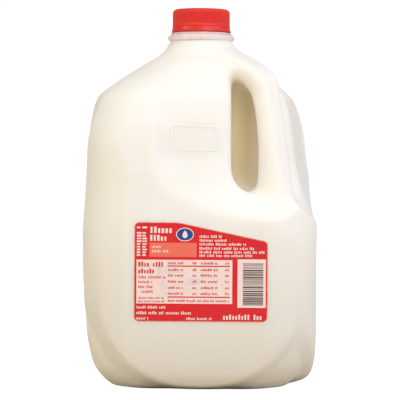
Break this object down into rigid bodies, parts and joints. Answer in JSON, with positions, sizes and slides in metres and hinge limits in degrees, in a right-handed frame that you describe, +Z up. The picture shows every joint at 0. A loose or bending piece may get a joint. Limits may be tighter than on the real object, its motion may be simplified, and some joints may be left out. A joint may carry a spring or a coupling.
{
  "type": "plastic milk jug",
  "caption": "Square one-gallon plastic milk jug with a corner handle, a hand recess, a ribbed push-on cap and a flat front label, filled to the neck.",
  "frame": {"origin": "middle of the flat base, under the axis of the neck", "axes": "+Z up along the neck's axis, -Y out of the side with the label, and the handle in the corner between +X and -Y"},
  "size_m": [0.15, 0.1505, 0.2468],
  "materials": {
    "bottle_wall": "blow-moulded polyethylene, unpigmented, cloudy and soft-glossed",
    "milk": "whole milk, white and opaque",
    "cap": "injection-moulded polyethylene, red, smooth band under fine upright ribs",
    "label": "printed film, satin, red with a pale border"
  },
  "bodies": {
    "root": {"bottle": "bottle_wall", "milk": "milk", "cap": "cap", "label": "label"}
  },
  "joints": []
}
